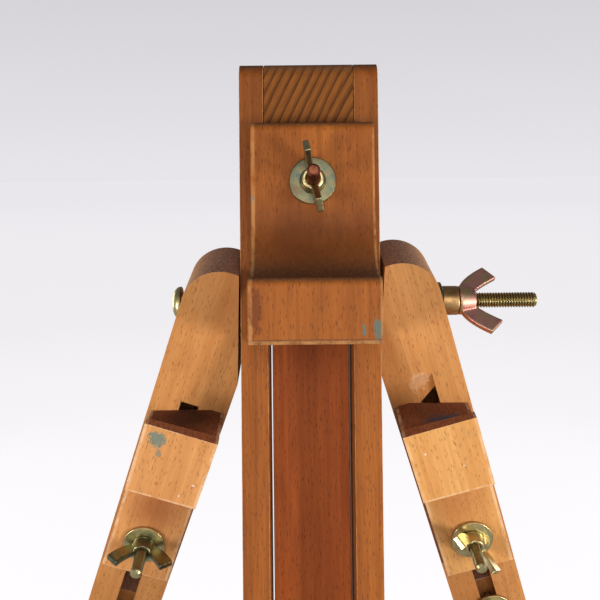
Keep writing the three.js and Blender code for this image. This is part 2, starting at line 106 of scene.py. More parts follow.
def add_camera():
    """The camera looks at the pivot, nearly square to the leaning mast."""
    forward = Vector((0, math.cos(CAMERA_PITCH), math.sin(CAMERA_PITCH)))
    up = Vector((0, -math.sin(CAMERA_PITCH), math.cos(CAMERA_PITCH)))
    right = Vector((1, 0, 0)) * math.cos(CAMERA_ROLL) + up * math.sin(CAMERA_ROLL)
    up = -Vector((1, 0, 0)) * math.sin(CAMERA_ROLL) + up * math.cos(CAMERA_ROLL)
    place = Vector((-CAMERA_LEFT, 0, CAMERA_UP)) - CAMERA_DISTANCE * forward
    data = bpy.data.cameras.new("camera")
    data.lens = LENS
    data.sensor_width = SENSOR_WIDTH
    data.clip_start = 0.01
    camera = bpy.data.objects.new("camera", data)
    bpy.context.scene.collection.objects.link(camera)
    camera.matrix_world = MAST @ frame_from(place, right, up, -forward)
    bpy.context.scene.camera = camera


def add_area_light(name, place, target, size, power, colour=(1, 1, 1)):
    """An area light at a place in the mast's frame, aimed at a target there."""
    data = bpy.data.lights.new(name, "AREA")
    data.shape = "DISK"
    data.size = size
    data.energy = power
    data.color = colour
    light = bpy.data.objects.new(name, data)
    bpy.context.scene.collection.objects.link(light)
    start, end = MAST @ Vector(place), MAST @ Vector(target)
    light.location = start
    light.rotation_euler = (end - start).to_track_quat("-Z", "Y").to_euler()
    light.visible_camera = False


WARM = (1.0, 0.98, 0.95)


def add_lights():
    """Two warm key lights low at the sides, a weak fill in front, and two lights for the back."""
    target = (0, 0, -0.05)
    add_area_light("key_left", (-1.10, -0.95, -0.42), target, 0.50, 12, WARM)
    add_area_light("key_right", (1.15, -0.90, -0.40), target, 0.50, 16, WARM)
    add_area_light("fill_front", (0.10, -1.40, 0.15), target, 0.80, 5)
    for name, x in (("back_left", -1.4), ("back_right", 1.4)):
        add_area_light(name, (x, 1.3, 0.2), (0, 0, -0.25), 0.9, 7)


# ---- Node graphs -------------------------------------------------------------------------------

class Graph:
    """A short way to add shader nodes: inputs are values or other nodes' sockets."""

    def __init__(self, tree):
        self.tree = tree
        tree.nodes.clear()

    def add(self, kind, inputs=None, **settings):
        node = self.tree.nodes.new(kind)
        for key, value in settings.items():
            setattr(node, key, value)
        for key, value in (inputs or {}).items():
            if isinstance(value, bpy.types.NodeSocket):
                self.tree.links.new(value, node.inputs[key])
            else:
                node.inputs[key].default_value = value
        return node

    def math(self, operation, a, b=0.0):
        return self.add("ShaderNodeMath", {0: a, 1: b}, operation=operation).outputs[0]

    def vector(self, operation, a, b=(0, 0, 0)):
        node = self.add("ShaderNodeVectorMath", {0: a, 1: b}, operation=operation)
        return node.outputs["Value" if operation == "LENGTH" else "Vector"]

    def mix(self, share, a, b):
        node = self.add("ShaderNodeMix", {"Factor": share}, data_type="RGBA")
        for index, value in ((6, a), (7, b)):
            if isinstance(value, bpy.types.NodeSocket):
                self.tree.links.new(value, node.inputs[index])
            else:
                node.inputs[index].default_value = value
        return node.outputs[2]

    def ramp(self, value, low, high):
        """0 at low, 1 at high, straight between and level beyond. Low may be the larger of the two."""
        node = self.add("ShaderNodeMapRange", {"Value": value, "From Min": low, "From Max": high})
        return node.outputs[0]

    def scaled(self, vector, scale, offset=(0, 0, 0), turn=(0, 0, 0)):
        inputs = {"Vector": vector, "Location": offset, "Rotation": turn, "Scale": scale}
        return self.add("ShaderNodeMapping", inputs).outputs[0]

    def noise(self, vector, scale=1.0, detail=3.0, roughness=0.5):
        inputs = {"Vector": vector, "Scale": scale, "Detail": detail, "Roughness": roughness}
        return self.add("ShaderNodeTexNoise", inputs).outputs[0]


def new_material(name):
    material = bpy.data.materials.new(name)
    material.use_nodes = True
    return material, Graph(material.node_tree)


def in_millimetres(g, coordinates, turn=(0, 0, 0)):
    """Places in the piece's own frame, in millimetres, turned if asked."""
    return g.scaled(coordinates.outputs["Object"], (1 / MM,) * 3, (0, 0, 0), turn)


def finish_material(graph, inputs, bump=None, bump_depth=0.0):
    """Adds the surface shader, with an optional bump height in metres."""
    shader = graph.add("ShaderNodeBsdfPrincipled", inputs)
    if bump is not None:
        normal = graph.add("ShaderNodeBump", {"Height": bump, "Distance": bump_depth, "Strength": 1.0})
        graph.tree.links.new(normal.outputs[0], shader.inputs["Normal"])
    output = graph.add("ShaderNodeOutputMaterial")
    graph.tree.links.new(shader.outputs[0], output.inputs[0])


# ---- Materials ---------------------------------------------------------------------------------

def darker(colour, share):
    """The colour with this share of its light left."""
    return tuple(value * share for value in colour[:3]) + (1.0,)


def fleck_layer(g, place, width, length, reach, keep):
    """Short dark rays, deeper than wide: one in each cell, kept or dropped by the cell's random colour."""
    offset = (width * 7, 0, length)
    vector = g.scaled(place, (1 / width, 0.2 / width, 1 / length), offset)
    cells = g.add("ShaderNodeTexVoronoi", {"Vector": vector, "Scale": 1.0})
    inside = g.math("SUBTRACT", 1.0, g.ramp(cells.outputs["Distance"], reach * 0.45, reach))
    split = g.add("ShaderNodeSeparateColor", {"Color": cells.outputs["Color"]})
    return g.math("MULTIPLY", inside, g.math("GREATER_THAN", split.outputs[0], keep))


RAGGED = 2.4  # how strongly noise breaks up a paint mark's edge


def paint_mark(g, local, colour, centre, size, paint, strength):
    """A ragged patch of colour, with its centre and half size in millimetres in the piece's frame."""
    shifted = g.vector("SUBTRACT", local, centre)
    reach = g.vector("LENGTH", g.vector("DIVIDE", shifted, size))
    coarse = g.noise(g.scaled(local, (0.55, 0.55, 0.55), centre), 1, 4, 0.7)
    edge = g.math("ADD", reach, g.math("MULTIPLY", g.math("SUBTRACT", coarse, 0.5), RAGGED))
    inside = g.math("SUBTRACT", 1.0, g.ramp(edge, 0.7, 1.0))
    return g.mix(g.math("MULTIPLY", inside, strength), colour, paint)


def shaded(g, local, colour, centre, size, shade, strength):
    """A soft painted shade, with its centre and half size in millimetres in the piece's frame."""
    reach = g.vector("LENGTH", g.vector("DIVIDE", g.vector("SUBTRACT", local, centre), size))
    return g.mix(g.math("MULTIPLY", g.ramp(reach, 1.0, 0.25), strength), colour, shade)


def rubbed(g, local, rims, width=1.1):
    """1 near the planes where edges are rubbed pale. Each is an axis and a place in millimetres."""
    split = g.add("ShaderNodeSeparateXYZ", {"Vector": local})
    total = 0.0
    for axis, place in rims:
        near = g.math("ABSOLUTE", g.math("SUBTRACT", split.outputs[axis], place))
        total = g.math("MAXIMUM", total, g.ramp(near, width, 0.45 * width))
    return total


def wood(name, tones, seed=0.0, gloss=0.5, streaks=0.4, marks=(), shades=(), rims=()):
    """Oiled beech: long fibres, short dark flecks, darker end grain, hand grime, painted shade where asked and
    pale worn edges.
    """
    tone, dark, end, worn = tones
    material, g = new_material(name)
    coordinates = g.add("ShaderNodeTexCoord")
    local = in_millimetres(g, coordinates)
    place = g.scaled(local, (1, 1, 1), (seed, seed * 1.7, seed * 3.1))
    patches = g.noise(g.scaled(place, (0.045, 0.045, 0.009)), 1, 3, 0.6)
    stripes = g.noise(g.scaled(place, (0.30, 0.30, 0.006), (5, 9, 1)), 1, 3, 0.6)
    fibres = g.noise(g.scaled(place, (1.6, 1.6, 0.05)), 1, 5, 0.65)
    colour = g.mix(g.ramp(patches, 0.35, 0.75), tone, dark)
    colour = g.mix(g.math("MULTIPLY", g.ramp(stripes, 0.42, 0.68), streaks), colour, darker(dark, 0.72))
    colour = g.mix(g.math("MULTIPLY", g.ramp(fibres, 0.40, 0.72), streaks), colour, darker(dark, 0.8))

    wide_flecks = fleck_layer(g, place, 1.4, 6.0, 0.27, 0.35)
    fine_flecks = fleck_layer(g, place, 0.85, 5.0, 0.27, 0.30)
    colour = g.mix(g.math("MULTIPLY", wide_flecks, 0.72), colour, darker(dark, 0.62))
    colour = g.mix(g.math("MULTIPLY", fine_flecks, 0.68), colour, darker(dark, 0.42))

    # End grain, where the surface faces along the fibres
    facing = g.add("ShaderNodeSeparateXYZ", {"Vector": coordinates.outputs["Normal"]})
    along = g.math("ABSOLUTE", facing.outputs[2])
    pores = g.noise(g.scaled(place, (1.1, 0.35, 0.4)), 1, 4, 0.75)
    end_colour = g.mix(g.ramp(pores, 0.38, 0.62), end, darker(end, 0.5))
    colour = g.mix(g.ramp(along, 0.30, 0.85), colour, end_colour)

    grime = g.noise(g.scaled(place, (0.05, 0.05, 0.03), (40, 3, 9)), 1, 4, 0.6)
    colour = g.mix(g.math("MULTIPLY", g.ramp(grime, 0.56, 0.85), 0.35), colour, darker(dark, 0.45))
    # Painted shade: soft darker areas where shade falls
    for shade in shades:
        colour = shaded(g, local, colour, *shade)
    for mark in marks:
        colour = paint_mark(g, local, colour, *mark)

    # Worn edges, broken up by noise
    edge = g.add("ShaderNodeAttribute", attribute_name="edge_wear").outputs["Fac"]
    breaks = g.noise(g.scaled(place, (0.22, 0.22, 0.10)), 1, 4, 0.7)
    rim = g.math("MULTIPLY", rubbed(g, local, rims), 0.5)
    wear = g.math("MULTIPLY", g.math("MAXIMUM", edge, rim), g.ramp(breaks, 0.34, 0.56))
    colour = g.mix(g.math("MULTIPLY", wear, 0.85), colour, worn)

    roughness = g.math("ADD", 0.62 - 0.28 * gloss, g.math("MULTIPLY", fibres, 0.22))
    pits = g.math("MAXIMUM", wide_flecks, fine_flecks)
    height = g.math("SUBTRACT", g.math("MULTIPLY", fibres, 0.6), pits)
    inputs = {"Base Color": colour, "Roughness": roughness, "Specular IOR Level": 0.22}
    finish_material(g, inputs, height, 0.06 * MM)
    return material


RING_SLANT = math.radians(-27)
RINGS_PER_MM = 0.24
RING_BEND = 6.0  # how far noise pushes the rings, in millimetres


def ring_grain(name, light, dark, end):
    """The top block: growth rings that cross its front on a slant, with fine fibres and a plain upper end."""
    material, g = new_material(name)
    coordinates = g.add("ShaderNodeTexCoord")
    place = in_millimetres(g, coordinates, (0, RING_SLANT, 0))
    warp = g.noise(g.scaled(place, (0.05, 0.05, 0.012)), 1, 3, 0.5)
    across = g.add("ShaderNodeSeparateXYZ", {"Vector": place}).outputs[0]
    bent = g.math("ADD", across, g.math("MULTIPLY", warp, RING_BEND))
    bands = g.math("FRACT", g.math("MULTIPLY", bent, RINGS_PER_MM))
    late = g.math("MULTIPLY", g.ramp(bands, 0.45, 0.92), g.math("SUBTRACT", 1.0, g.ramp(bands, 0.93, 1.0)))
    fibres = g.noise(g.scaled(place, (2.4, 2.4, 0.12)), 1, 5, 0.7)
    colour = g.mix(g.math("MULTIPLY", late, 0.9), light, dark)
    colour = g.mix(g.math("MULTIPLY", g.ramp(fibres, 0.32, 0.66), 0.6), colour, dark)
    facing = g.add("ShaderNodeSeparateXYZ", {"Vector": coordinates.outputs["Normal"]})
    colour = g.mix(g.math("MULTIPLY", g.ramp(facing.outputs[2], 0.25, 0.85), 0.75), colour, end)
    roughness = g.math("ADD", 0.6, g.math("MULTIPLY", fibres, 0.2))
    inputs = {"Base Color": colour, "Roughness": roughness, "Specular IOR Level": 0.15}
    finish_material(g, inputs, g.math("MULTIPLY", fibres, 0.6), 0.08 * MM)
    return material


def plated_steel(name, tone, tint, stain, rough=0.24):
    """Yellow zinc plate: a cloudy film of three colours, with fine grime and painted shade darkening the threads'
    grooves.
    """
    material, g = new_material(name)
    place = in_millimetres(g, g.add("ShaderNodeTexCoord"))
    film = g.noise(g.scaled(place, (0.16, 0.16, 0.16)), 1, 3, 0.55)
    cloud = g.noise(g.scaled(place, (0.33, 0.33, 0.33), (11, 5, 2)), 1, 3, 0.6)
    fine = g.noise(g.scaled(place, (1.3, 1.3, 1.3)), 1, 4, 0.65)
    colour = g.mix(g.ramp(film, 0.42, 0.62), tone, tint)
    colour = g.mix(g.math("MULTIPLY", g.ramp(cloud, 0.52, 0.68), 0.7), colour, stain)
    colour = g.mix(g.math("MULTIPLY", g.ramp(fine, 0.54, 0.80), 0.25), colour, GRIME_AND_GROOVE_SHADE)
    groove = g.add("ShaderNodeAttribute", attribute_name="groove").outputs["Fac"]
    # Painted shade: the thread's grooves are darkened so that the ridges stand out
    colour = g.mix(g.math("MULTIPLY", groove, 0.85), colour, darker(GRIME_AND_GROOVE_SHADE, 0.35))
    roughness = g.math("ADD", rough, g.math("MULTIPLY", fine, 0.16))
    inputs = {"Base Color": colour, "Roughness": roughness, "Metallic": 1.0}
    finish_material(g, inputs, fine, 0.008 * MM)
    return material


def rubber(name):
    """Matt black rubber with a fine moulded texture and dust."""
    material, g = new_material(name)
    place = in_millimetres(g, g.add("ShaderNodeTexCoord"))
    grain = g.noise(g.scaled(place, (1.8, 1.8, 1.8)), 1, 4, 0.7)
    dust = g.noise(g.scaled(place, (0.09, 0.09, 0.09)), 1, 4, 0.6)
    colour = g.mix(g.ramp(dust, 0.5, 0.8), srgb(30, 29, 28), srgb(74, 70, 64))
    finish_material(g, {"Base Color": colour, "Roughness": 0.82}, grain, 0.05 * MM)
    return material


TEAL = srgb(58, 116, 112)
DEEP_TEAL = srgb(20, 78, 104)
PALE_PAINT = srgb(222, 212, 198)
PALE_WOOD = srgb(240, 206, 168)
STAIN = srgb(84, 38, 18)
GRIME_AND_GROOVE_SHADE = srgb(82, 70, 42)
RUST = srgb(84, 30, 28)
# Painted shade: the brown that darkens the clamp's upward-facing hollow and the rails' upper part
PAINTED_SHADE_BROWN = srgb(84, 40, 12)
SHADOWED = srgb(142, 78, 38)
# Painted shade for the recessed floor behind a ledge's lip
PAINTED_RECESS_SHADE = srgb(52, 26, 16)
# Wood tones: the plain wood, its dark streaks, the end grain and the worn edges
MAST_TONES = (srgb(172, 98, 34), srgb(136, 70, 20), srgb(128, 82, 52), srgb(216, 160, 98))
LEG_TONES = (srgb(210, 150, 88), srgb(184, 116, 58), srgb(188, 138, 108), PALE_WOOD)
LEDGE_TONES = {
    "left": (srgb(214, 152, 92), srgb(190, 122, 64), srgb(164, 96, 62), PALE_WOOD),
    "right": (srgb(226, 170, 102), srgb(202, 136, 72), srgb(164, 96, 62), PALE_WOOD),
}
MAST_GLOSS = 0.65
INNER_TONES = (srgb(174, 88, 30), srgb(138, 62, 18), srgb(90, 52, 36), srgb(180, 112, 68))


# ---- Wooden pieces -----------------------------------------------------------------------------

EDGE_ANGLE = math.radians(24)  # an edge sharper than this is rounded
FLAT_ANGLE = math.radians(0.6)  # faces closer to one plane than this become one face
SAME_PLACE = 0.002 * MM


def add_piece(name, mesh, matrix, node, material):
    """Links a mesh as the visible piece that stands for a CAD node, riding on the node's body."""
    piece = bpy.data.objects.new(name, mesh)
    bpy.context.scene.collection.objects.link(piece)
    piece.matrix_world = matrix
    mesh.materials.clear()
    mesh.materials.append(material)
    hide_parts(node)
    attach(piece, BODY_OF[node])
    return piece


def local_bmesh(node, matrix):
    """The CAD node's mesh in a local frame, with its flat faces made whole."""
    work = bmesh.new()
    work.from_mesh(frame["nodes"][node].data)
    bmesh.ops.transform(work, matrix=matrix.inverted(), verts=work.verts)
    bmesh.ops.remove_doubles(work, verts=work.verts, dist=SAME_PLACE)
    bmesh.ops.dissolve_limit(work, angle_limit=FLAT_ANGLE, verts=work.verts, edges=work.edges)
    return work


def softened(node, matrix, radius, segments=3):
    """A copy of the CAD node with rounded edges, which carry the edge_wear attribute."""
    work = local_bmesh(node, matrix)
    sharp = [e for e in work.edges if len(e.link_faces) == 2 and e.calc_face_angle(0) > EDGE_ANGLE]
    result = bmesh.ops.bevel(
        work, geom=sharp, offset=radius, segments=segments, profile=0.5, affect="EDGES", clamp_overlap=True)
    work.faces.index_update()
    worn = [face.index for face in result["faces"]]
    for face in work.faces:
        face.smooth = True
    mesh = bpy.data.meshes.new(f"{node}_soft")
    work.to_mesh(mesh)
    work.free()
    wear = mesh.attributes.new("edge_wear", "FLOAT", "FACE")
    for index in worn:
        wear.data[index].value = 1.0
    return with_weighted_normals(mesh)


def with_weighted_normals(mesh):
    """The same mesh, with large faces keeping their own normals."""
    holder = bpy.data.objects.new("holder", mesh)
    bpy.context.scene.collection.objects.link(holder)
    modifier = holder.modifiers.new("normals", "WEIGHTED_NORMAL")
    modifier.weight = 100
    modifier.mode = "FACE_AREA"
    graph = bpy.context.evaluated_depsgraph_get()
    result = bpy.data.meshes.new_from_object(holder.evaluated_get(graph))
    result.name = mesh.name
    bpy.data.objects.remove(holder)
    return result


def span_of(node, matrix):
    """Heights of a node's lower and upper ends along its member, in millimetres."""
    inverse = matrix.inverted()
    heights = [(inverse @ vertex.co).z / MM for vertex in frame["nodes"][node].data.vertices]
    return min(heights), max(heights)


def ledge_marks(side, top):
    """Dry paint on a ledge block whose top is at a height: centre, half size, colour and strength."""
    if side == "left":
        return (
            ((-10.5, -50, top - 6.5), (4.6, 6, 4.6), TEAL, 0.75),
            ((-8, -50, top - 14), (1.6, 6, 3), TEAL, 0.5),
            ((13, -50, top - 26), (0.7, 3, 0.7), PALE_PAINT, 0.9),
            ((8, -50, top - 34), (0.5, 3, 0.5), PALE_PAINT, 0.8),
        )
    return (
        ((8, -37, top - 3), (14, 7.5, 14), DEEP_TEAL, 0.9),
        ((-10, -50, top - 12), (0.7, 3, 0.7), PALE_PAINT, 0.7),
        ((6, -50, top - 24), (0.5, 3, 0.5), PALE_PAINT, 0.7),
    )


LEG_MARKS = {
    "left": (),
    "right": (((-2.5, -20, -38), (5.5, 6, 7), PALE_WOOD, 0.22),),  # torn fibres round the slot's end
}
CLAMP_MARKS = (
    ((28, -61, -13.7), (2.0, 4, 5.4), TEAL, 0.65),
    ((22.0, -61, -14.4), (1.1, 4, 3.2), TEAL, 0.7),
    ((-25, -61, -5), (3.2, 6, 12), STAIN, 0.55),
    ((-27.5, -35, 48), (1.2, 6, 2.2), TEAL, 0.5),
)
# Painted shade in the hollow above the nose, whose surface faces up
CLAMP_SHADES = (((0, -34, 28), (60, 22, 26), PAINTED_SHADE_BROWN, 0.75),)  # the hollow above the nose
ACROSS, ALONG = 0, 2  # axes of a member's frame
CLAMP_RIMS = ((ACROSS, -27.2), (ACROSS, 30.0), (ALONG, -19.2))  # its sides and its lower edge
# Painted shade: the rails darken towards the top, where less light falls
RAIL_SHADES = (((0, 0, 90), (120, 60, 210), PAINTED_SHADE_BROWN, 0.45),)
LEDGE_SIDE = 17.3  # from a ledge's middle to its rubbed side edges
LEDGE_FOOT, LEDGE_STEP = 0.8, 65.2  # from its lower end to its rubbed lower edge and the nose's
STEP_SHADE = {"left": 0.8, "right": 0.4}
LIP_SHADE = {"left": 0.9, "right": 0.5}

# Rounding of edges
EDGE = 0.7 * MM
WORN_EDGE = 1.3 * MM
FINE_EDGE = 0.35 * MM
SCREW_EDGE = 0.2 * MM
RUBBER_EDGE = 1.4 * MM


def ledge_shades(side, top):
    """Soft shading under a ledge's nose, and on the floor behind its lip."""
    return (
        ((0, -30, top - 58), (20, 14, 22), SHADOWED, STEP_SHADE[side]),
        ((0, -26, top - 4), (40, 18, 14), PAINTED_RECESS_SHADE, LIP_SHADE[side]),
    )


def ledge_rims(bottom):
    """Where a ledge's edges are rubbed pale."""
    sides = ((ACROSS, -LEDGE_SIDE), (ACROSS, LEDGE_SIDE))
    return sides + ((ALONG, bottom + LEDGE_FOOT), (ALONG, bottom + LEDGE_STEP))


def make_wood():
    """Every wooden piece. A material's number shifts its grain, so that no two pieces look alike."""
    plain = wood("beech_mast_blocks", MAST_TONES, 91, MAST_GLOSS)
    inner = wood("beech_inner", INNER_TONES, 24)
    rings = ring_grain("beech_rings", srgb(146, 86, 34), srgb(66, 34, 12), srgb(120, 84, 60))
    clamp = wood("beech_clamp", MAST_TONES, 52, MAST_GLOSS, 0.5, CLAMP_MARKS, CLAMP_SHADES, CLAMP_RIMS)
    left = wood("beech_rail_left", MAST_TONES, 5, MAST_GLOSS, 0.75, shades=RAIL_SHADES)
    right = wood("beech_rail_right", MAST_TONES, 33, MAST_GLOSS, 0.6, shades=RAIL_SHADES)
    pieces = {
        "mast_rail_left": (left, EDGE),
        "mast_rail_right": (right, EDGE),
        "mast_top_block": (rings, FINE_EDGE),
        "mast_pivot_block": (plain, EDGE),
        "mast_front_guide": (plain, EDGE),
        "mast_rear_guide": (plain, EDGE),
        "centre_leg_bar": (inner, EDGE),
        "top_clamp_block": (clamp, WORN_EDGE),
        "top_clamp_plate": (plain, EDGE),
    }
    for index, (side, matrix) in enumerate(LEG.items()):
        leg = wood(f"beech_{side}_leg", LEG_TONES, 3 + 18 * index, marks=LEG_MARKS[side])
        extension = wood(f"beech_{side}_extension", LEG_TONES, 81 + 9 * index)
        bottom, top = span_of(f"{side}_ledge_block", matrix)
        ledge = wood(
            f"beech_{side}_ledge", LEDGE_TONES[side], 47 + 16 * index,
            marks=ledge_marks(side, top), shades=ledge_shades(side, top), rims=ledge_rims(bottom))
        pieces[f"{side}_leg_bar"] = (leg, EDGE)
        pieces[f"{side}_groove_strip"] = (extension, EDGE)
        pieces[f"{side}_extension_bar"] = (extension, EDGE)
        pieces[f"{side}_ledge_block"] = (ledge, WORN_EDGE)
    for node, (material, radius) in pieces.items():
        matrix = member_of(node)
        add_piece(f"{node}_wood", softened(node, matrix, radius), matrix, node, material)


# ---- Fasteners ---------------------------------------------------------------------------------

def axis_frame(joint):
    """A frame on a joint's axis, with Z along it."""
    z = Vector(JOINTS[joint]["axis"])
    x = Vector((1, 0, 0)) if abs(z.x) < 0.9 else Vector((0, 0, 1))
    x = (x - z * x.dot(z)).normalized()
    return frame_from(Vector(JOINTS[joint]["pos_m"]), x, z.cross(x), z)


def measured(node, matrix):
    """Each CAD vertex of a node as (height along Z, radius, angle) in a frame."""
    inverse = matrix.inverted()
    rows = []
    for vertex in frame["nodes"][node].data.vertices:
        point = inverse @ vertex.co
        rows.append((point.z, math.hypot(point.x, point.y), math.atan2(point.y, point.x)))
    return rows


SIDES = 48  # vertices in a ring
M6_BORE, M8_BORE = 3.15 * MM, 4.15 * MM  # radii of the wing nuts' holes
M6_WING, M8_WING, SCREW_WING = 3.0 * MM, 3.4 * MM, 3.2 * MM  # thickness of the wings
SCREW_STEM = 3.0 * MM
PIVOT_THREAD = (1.41 * MM, 0.8 * MM, 80 * MM)  # pitch, depth and length
WASHER_EDGE, THIN_EDGE, SLEEVE_EDGE = 0.4 * MM, 0.12 * MM, 0.6 * MM
WING_ROOT = 0.40  # the hub's share of a wing nut's height
CREASE = math.radians(35)


def ring_of(work, radius, height):
    """A ring of vertices about Z, or one vertex on it. The radius may be a function of the turn, 0 to 1."""
    if radius == 0:
        return [work.verts.new((0, 0, height))]
    ring = []
    for k in range(SIDES):
        reach = radius(k / SIDES) if callable(radius) else radius
        angle = 2 * math.pi * k / SIDES
        ring.append(work.verts.new((reach * math.cos(angle), reach * math.sin(angle), height)))
    return ring


def skin(work, rings, closed=False):
    """Faces between neighbouring rings."""
    following = rings[1:] + rings[:1] if closed else rings[1:]
    for low, high in zip(rings, following):
        for k in range(SIDES):
            after = k + 1
            ring = [low[k % len(low)], low[after % len(low)], high[after % len(high)], high[k % len(high)]]
            work.faces.new(list(dict.fromkeys(ring)))


def turned(work, outline, closed=False):
    """A solid of revolution about Z from (radius, height) points."""
    skin(work, [ring_of(work, radius, height) for radius, height in outline], closed)


def smooth_mesh(name, work):
    """A smooth mesh from the work, with its creases kept sharp."""
    bmesh.ops.recalc_face_normals(work, faces=work.faces)
    for face in work.faces:
        face.smooth = True
    mesh = bpy.data.meshes.new(name)
    work.to_mesh(mesh)
    work.free()
    mesh.set_sharp_from_angle(angle=CREASE)
    return mesh


def arc(cx, cy, radius, start, end, steps=5):
    """Points on an arc, angles in degrees."""
    points = []
    for k in range(steps + 1):
        angle = math.radians(start + (end - start) * k / steps)
        points.append((cx + radius * math.cos(angle), cy + radius * math.sin(angle)))
    return points


def make_ring(node, joint, material, r):
    """A washer or sleeve with edges of radius r, from its CAD node's bore, rim and faces."""
    matrix = axis_frame(joint)
    heights, radii, _ = zip(*measured(node, matrix))
    low, high, inner, outer = min(heights), max(heights), min(radii), max(radii)
    section = arc(inner + r, low + r, r, 180, 270) + arc(outer - r, low + r, r, 270, 360)
    section += arc(outer - r, high - r, r, 0, 90) + arc(inner + r, high - r, r, 90, 180)
    work = bmesh.new()
    turned(work, section, closed=True)
    add_piece(f"{node}_metal", smooth_mesh(f"{node}_ring", work), matrix, node, material)


def bolt_sizes(rows):
    """A bolt's tip and head ends, head and shank radii, and the height of the head's seat."""
    tip, head_end = max(r[0] for r in rows), min(r[0] for r in rows)
    head_radius = max(r[1] for r in rows)
    shank_radius = max(r[1] for r in rows if r[0] > tip - 2 * MM)
    seat = max(r[0] for r in rows if r[1] > shank_radius + 0.5 * MM)
    return tip, head_end, head_radius, shank_radius, seat


def domed_head(head_end, head_radius, seat, rim=0.8 * MM, steps=8):
    """A carriage bolt's low dome, from its crown to its seat."""
    crown = head_end - seat + rim
    angles = [math.pi / 2 * k / steps for k in range(steps + 1)]
    dome = [(head_radius * math.sin(a), seat - rim + crown * math.cos(a)) for a in angles]
    return dome + [(head_radius, seat - 0.25 * rim), (head_radius - 0.3 * MM, seat)]


CONE_LENGTH, CONE_SLOPE = 1.1 * MM, 0.9  # at a bolt's tip
BARE_END = 1.2 * MM  # this near the tip the thread isn't darkened


def thread_rings(work, radius, pitch, depth, start, tip, rows_per_pitch=8):
    """Rings whose radius follows a helical groove, with a fade at its start and a cone at the tip."""
    step = pitch / rows_per_pitch
    rings = []
    for row in range(1, int((tip - start) / step) + 1):
        height = start + row * step
        fade = min(1.0, row / (2 * rows_per_pitch))
        cone = max(0.0, (height - (tip - CONE_LENGTH)) * CONE_SLOPE)

        def reach(turn):
            phase = (height / pitch - turn) % 1.0
            groove = depth * fade * (1 - abs(2 * phase - 1)) ** 0.8
            return radius - max(groove, cone)
        rings.append(ring_of(work, reach, height))
    return rings


def make_bolt(node, joint, material, pitch=1.0 * MM, depth=0.16 * MM, thread=18 * MM):
    """A round-headed bolt whose tip points along the joint's axis, with a helical thread."""
    matrix = axis_frame(joint)
    tip, head_end, head_radius, radius, seat = bolt_sizes(measured(node, matrix))
    start = tip - thread
    outline = domed_head(head_end, head_radius, seat) + [(radius, seat), (radius, start)]
    work = bmesh.new()
    rings = [ring_of(work, r, height) for r, height in outline]
    rings += thread_rings(work, radius, pitch, depth, start, tip)
    rings.append(ring_of(work, 0, tip))
    skin(work, rings)
    mesh = smooth_mesh(f"{node}_bolt", work)
    # How deep each point sits in the thread's groove, which sets the painted shade there
    groove = mesh.attributes.new("groove", "FLOAT", "POINT")
    for vertex in mesh.vertices:
        if start < vertex.co.z < tip - BARE_END:
            groove.data[vertex.index].value = (radius - math.hypot(vertex.co.x, vertex.co.y)) / depth
    add_piece(f"{node}_metal", mesh, matrix, node, material)


def bend(a, b, c, steps=8):
    """Points on a quadratic curve from a to c, without a."""
    points = []
    for k in range(1, steps + 1):
        t = k / steps
        points.append(tuple((1 - t) ** 2 * p + 2 * t * (1 - t) * q + t * t * r for p, q, r in zip(a, b, c)))
    return points


def blade_outline(hub, height, span, top):
    """One wing in its own plane, as (radius, height) points."""
    root, low = (hub * 0.5, 0.8 * MM), (hub * 0.88, 0.8 * MM)
    corner, tip, edge = (span, 0.70 * top), (0.66 * span, top), (hub * 0.55, height)
    points = [root, low] + bend(low, (0.66 * span, 0.14 * top), corner)
    return points + [tip] + bend(tip, (0.40 * span, 0.56 * top), edge) + [(hub * 0.5, height)]


def add_wings(work, outline, thickness, base=0.0):
    """Two flat wings on opposite sides of the axis."""
    for side in (1, -1):
        faces = []
        for y in (-thickness / 2, thickness / 2):
            faces.append([work.verts.new((side * r, y, base + z)) for r, z in outline])
        work.faces.new(faces[0])
        work.faces.new(faces[1][::-1])
        for k, (a, b) in enumerate(zip(*faces)):
            after = (k + 1) % len(outline)
            work.faces.new((a, b, faces[1][after], faces[0][after]))


def wing_sizes(rows, base):
    """The wings' span, their turn about the axis, and their height and hub radius above a base."""
    top = max(r[0] for r in rows)
    span = max(r[1] for r in rows)
    tips = [2 * r[2] for r in rows if r[1] > 0.97 * span]
    turn = 0.5 * math.atan2(sum(map(math.sin, tips)), sum(map(math.cos, tips)))
    hub = max(r[1] for r in rows if abs(r[0] - base) < 0.3 * MM)
    return top - base, span, turn, hub


def make_wing_nut(node, joint, material, bore, thickness):
    """A cast wing nut: hub and wings melted together, then smoothed."""
    matrix = axis_frame(joint)
    rows = measured(node, matrix)
    base = min(r[0] for r in rows)
    top, span, turn, hub = wing_sizes(rows, base)
    height = WING_ROOT * top
    work = bmesh.new()
    section = [(bore, 0), (hub, 0), (hub, 0.14 * height), (hub * 0.8, height), (bore, height)]
    turned(work, section, closed=True)
    outline = [(max(r, bore + 0.5 * MM), z) for r, z in blade_outline(hub, height, span, top)]
    add_wings(work, outline, thickness)
    mesh = melted(smooth_mesh(f"{node}_cast", work))
    place = matrix @ Matrix.Translation((0, 0, base)) @ Matrix.Rotation(turn, 4, "Z")
    add_piece(f"{node}_metal", mesh, place, node, material)


